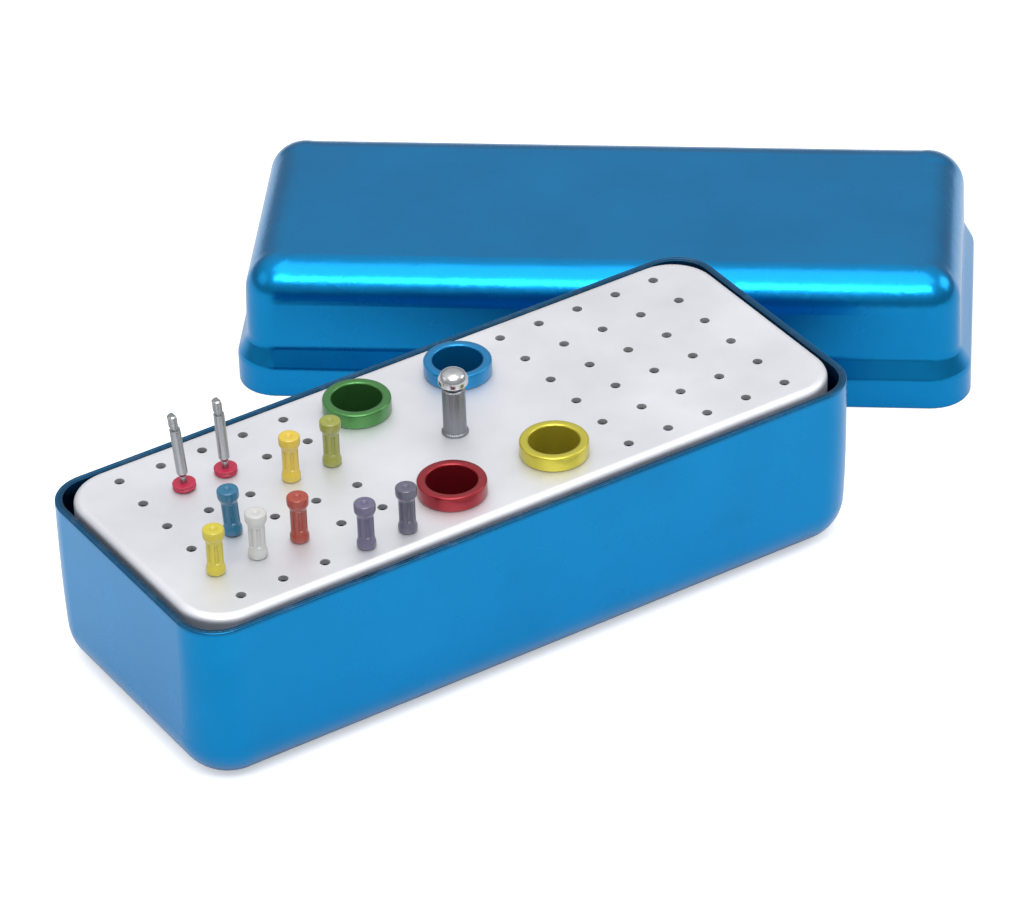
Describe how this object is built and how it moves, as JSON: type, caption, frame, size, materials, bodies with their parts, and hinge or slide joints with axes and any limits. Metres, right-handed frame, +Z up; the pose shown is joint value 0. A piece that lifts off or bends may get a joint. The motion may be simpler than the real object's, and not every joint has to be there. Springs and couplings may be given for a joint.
{
  "type": "endodontic instrument box",
  "caption": "Open endodontic instrument box: a drawn tub with a lift-out perforated insert that holds files, paste fillers and sorting cups, and its lid standing beside it.",
  "frame": {"origin": "middle of the tub's flat underside", "axes": "+X along the tub to the right as in the picture, +Y to its back, +Z up"},
  "size_m": [0.2513, 0.1787, 0.0597],
  "materials": {
    "anodised_blue": "satin blue anodised",
    "plate_aluminium": "matte silver anodised",
    "turned_aluminium": "fine turned",
    "stainless_steel": "turned and polished",
    "shank_steel": "fine ground",
    "file_steel": "bright ground",
    "red_silicone": "matte",
    "anodised_cup_green": "satin green anodised",
    "anodised_cup_blue": "satin blue anodised",
    "anodised_cup_red": "satin red anodised",
    "anodised_cup_yellow": "satin gold anodised",
    "handle_gold": "moulded",
    "handle_lime": "moulded",
    "handle_blue": "moulded",
    "handle_yellow": "moulded",
    "handle_white": "moulded",
    "handle_red": "moulded",
    "handle_purple": "moulded",
    "handle_grey": "moulded"
  },
  "bodies": {
    "box": {"tub": "anodised_blue"},
    "lid": {"lid": "anodised_blue"},
    "insert": {"insert_plate": "plate_aluminium", "leg_front_left": "turned_aluminium", "leg_front_right": "turned_aluminium", "leg_back_left": "turned_aluminium", "leg_back_right": "turned_aluminium", "lifting_post": "stainless_steel", "lifting_knob": "stainless_steel", "post_washer": "stainless_steel", "post_nut": "stainless_steel"},
    "cup_green": {"cup_green": "anodised_cup_green"},
    "cup_blue": {"cup_blue": "anodised_cup_blue"},
    "cup_red": {"cup_red": "anodised_cup_red"},
    "cup_yellow": {"cup_yellow": "anodised_cup_yellow"},
    "file_gold": {"file_gold_handle": "handle_gold", "file_gold_blade": "file_steel"},
    "file_lime": {"file_lime_handle": "handle_lime", "file_lime_blade": "file_steel"},
    "file_blue": {"file_blue_handle": "handle_blue", "file_blue_blade": "file_steel"},
    "file_yellow": {"file_yellow_handle": "handle_yellow", "file_yellow_blade": "file_steel"},
    "file_white": {"file_white_handle": "handle_white", "file_white_blade": "file_steel"},
    "file_red": {"file_red_handle": "handle_red", "file_red_blade": "file_steel"},
    "file_purple": {"file_purple_handle": "handle_purple", "file_purple_blade": "file_steel"},
    "file_grey": {"file_grey_handle": "handle_grey", "file_grey_blade": "file_steel"},
    "filler_left": {"filler_left_shank": "shank_steel", "filler_left_stop": "red_silicone", "filler_left_spiral": "file_steel"},
    "filler_right": {"filler_right_shank": "shank_steel", "filler_right_stop": "red_silicone", "filler_right_spiral": "file_steel"}
  },
  "joints": [
    {"name": "lid_lift", "type": "slide", "parent": "box", "child": "lid", "axis": [0, 0, 1], "range_m": [0, 0.08]},
    {"name": "insert_lift", "type": "slide", "parent": "box", "child": "insert", "axis": [0, 0, 1], "range_m": [0, 0.06]},
    {"name": "cup_green_lift", "type": "slide", "parent": "insert", "child": "cup_green", "axis": [0, 0, 1], "range_m": [0, 0.03]},
    {"name": "cup_blue_lift", "type": "slide", "parent": "insert", "child": "cup_blue", "axis": [0, 0, 1], "range_m": [0, 0.03]},
    {"name": "cup_red_lift", "type": "slide", "parent": "insert", "child": "cup_red", "axis": [0, 0, 1], "range_m": [0, 0.03]},
    {"name": "cup_yellow_lift", "type": "slide", "parent": "insert", "child": "cup_yellow", "axis": [0, 0, 1], "range_m": [0, 0.03]},
    {"name": "file_gold_lift", "type": "slide", "parent": "insert", "child": "file_gold", "axis": [0, 0, 1], "range_m": [0, 0.03]},
    {"name": "file_lime_lift", "type": "slide", "parent": "insert", "child": "file_lime", "axis": [0, 0, 1], "range_m": [0, 0.03]},
    {"name": "file_blue_lift", "type": "slide", "parent": "insert", "child": "file_blue", "axis": [-0.0519, 0.0321, 0.9981], "range_m": [0, 0.03]},
    {"name": "file_yellow_lift", "type": "slide", "parent": "insert", "child": "file_yellow", "axis": [0, 0, 1], "range_m": [0, 0.03]},
    {"name": "file_white_lift", "type": "slide", "parent": "insert", "child": "file_white", "axis": [0, 0, 1], "range_m": [0, 0.03]},
    {"name": "file_red_lift", "type": "slide", "parent": "insert", "child": "file_red", "axis": [0, 0, 1], "range_m": [0, 0.03]},
    {"name": "file_purple_lift", "type": "slide", "parent": "insert", "child": "file_purple", "axis": [0, 0, 1], "range_m": [0, 0.03]},
    {"name": "file_grey_lift", "type": "slide", "parent": "insert", "child": "file_grey", "axis": [0, 0, 1], "range_m": [0, 0.03]},
    {"name": "filler_left_lift", "type": "slide", "parent": "insert", "child": "filler_left", "axis": [-0.0682, 0.0421, 0.9968], "range_m": [0, 0.03]},
    {"name": "filler_right_lift", "type": "slide", "parent": "insert", "child": "filler_right", "axis": [-0.0386, 0.0238, 0.999], "range_m": [0, 0.03]}
  ]
}
